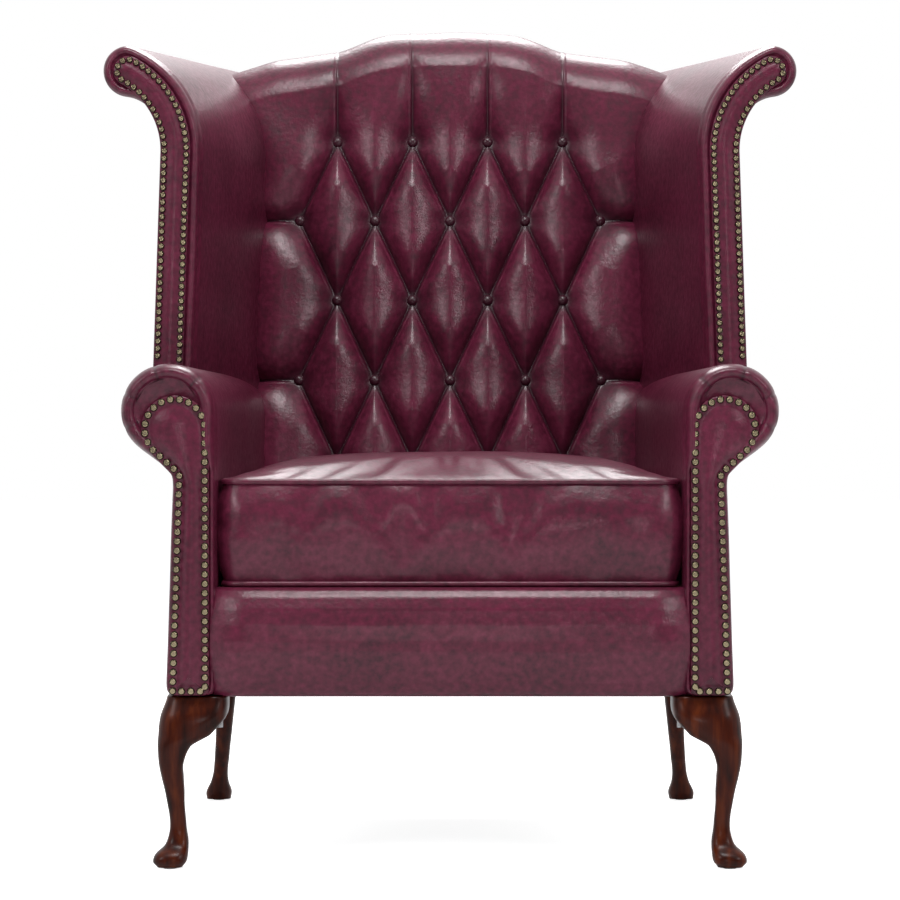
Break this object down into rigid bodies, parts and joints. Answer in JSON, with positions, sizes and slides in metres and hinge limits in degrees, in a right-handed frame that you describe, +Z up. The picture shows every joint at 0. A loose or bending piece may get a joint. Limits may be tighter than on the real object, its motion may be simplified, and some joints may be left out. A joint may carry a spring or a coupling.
{
  "type": "chesterfield wing armchair",
  "caption": "High-back wing armchair with a deep-buttoned camel-top back, scroll wings and arms, brass nailing, a loose piped seat cushion and cabriole legs.",
  "frame": {"origin": "On the floor, under the middle of the chair's width and depth.", "axes": "+X to the right as the chair is seen from the front, +Y towards the back, +Z up."},
  "size_m": [0.8848, 0.8049, 1.0742],
  "materials": {
    "oxblood_leather": "Antiqued oxblood leather, mid gloss, fine grain",
    "antique_brass": "Antiqued brass nail heads",
    "steel": "Steel wire and plate",
    "mahogany": "Dark polished mahogany",
    "beech": "Sawn beech",
    "hessian": "Jute hessian and webbing",
    "twine": "Waxed twine",
    "black_cloth": "Black dust-cover cloth"
  },
  "bodies": {
    "chair_frame": {"arm_board_left": "beech", "arm_board_right": "beech", "arm_facing_left": "oxblood_leather", "arm_facing_right": "oxblood_leather", "arm_pad_left": "oxblood_leather", "arm_pad_right": "oxblood_leather", "arm_studs_left": "antique_brass", "arm_studs_right": "antique_brass", "arm_stump_left": "beech", "arm_stump_right": "beech", "back_buttons": "oxblood_leather", "back_hessian": "hessian", "back_post_left": "beech", "back_post_right": "beech", "back_seat_rail": "beech", "back_webbing": "hessian", "button_ties": "twine", "corner_blocks": "beech", "crest_rail": "beech", "dust_cover": "black_cloth", "floor_glides": "steel", "front_border": "oxblood_leather", "front_leg_left": "mahogany", "front_leg_right": "mahogany", "front_seat_rail": "beech", "leg_bolts": "steel", "lower_back_rail": "beech", "outside_arm_leather_left": "oxblood_leather", "outside_arm_leather_right": "oxblood_leather", "outside_back": "oxblood_leather", "outside_wing_leather_left": "oxblood_leather", "outside_wing_leather_right": "oxblood_leather", "rear_leg_left": "mahogany", "rear_leg_right": "mahogany", "seat_platform": "hessian", "seat_springs": "steel", "side_seat_rail_left": "beech", "side_seat_rail_right": "beech", "spring_clips": "steel", "tufted_back": "oxblood_leather", "wing_board_left": "beech", "wing_board_right": "beech", "wing_facing_left": "oxblood_leather", "wing_facing_right": "oxblood_leather", "wing_pad_left": "oxblood_leather", "wing_pad_right": "oxblood_leather", "wing_studs_left": "antique_brass", "wing_studs_right": "antique_brass"},
    "loose_cushion": {"seat_cushion": "oxblood_leather", "cushion_piping": "oxblood_leather"}
  },
  "joints": [
    {"name": "cushion_lift", "type": "slide", "parent": "chair_frame", "child": "loose_cushion", "axis": [0, -0.7071, 0.7071], "range_m": [0, 0.6]}
  ]
}
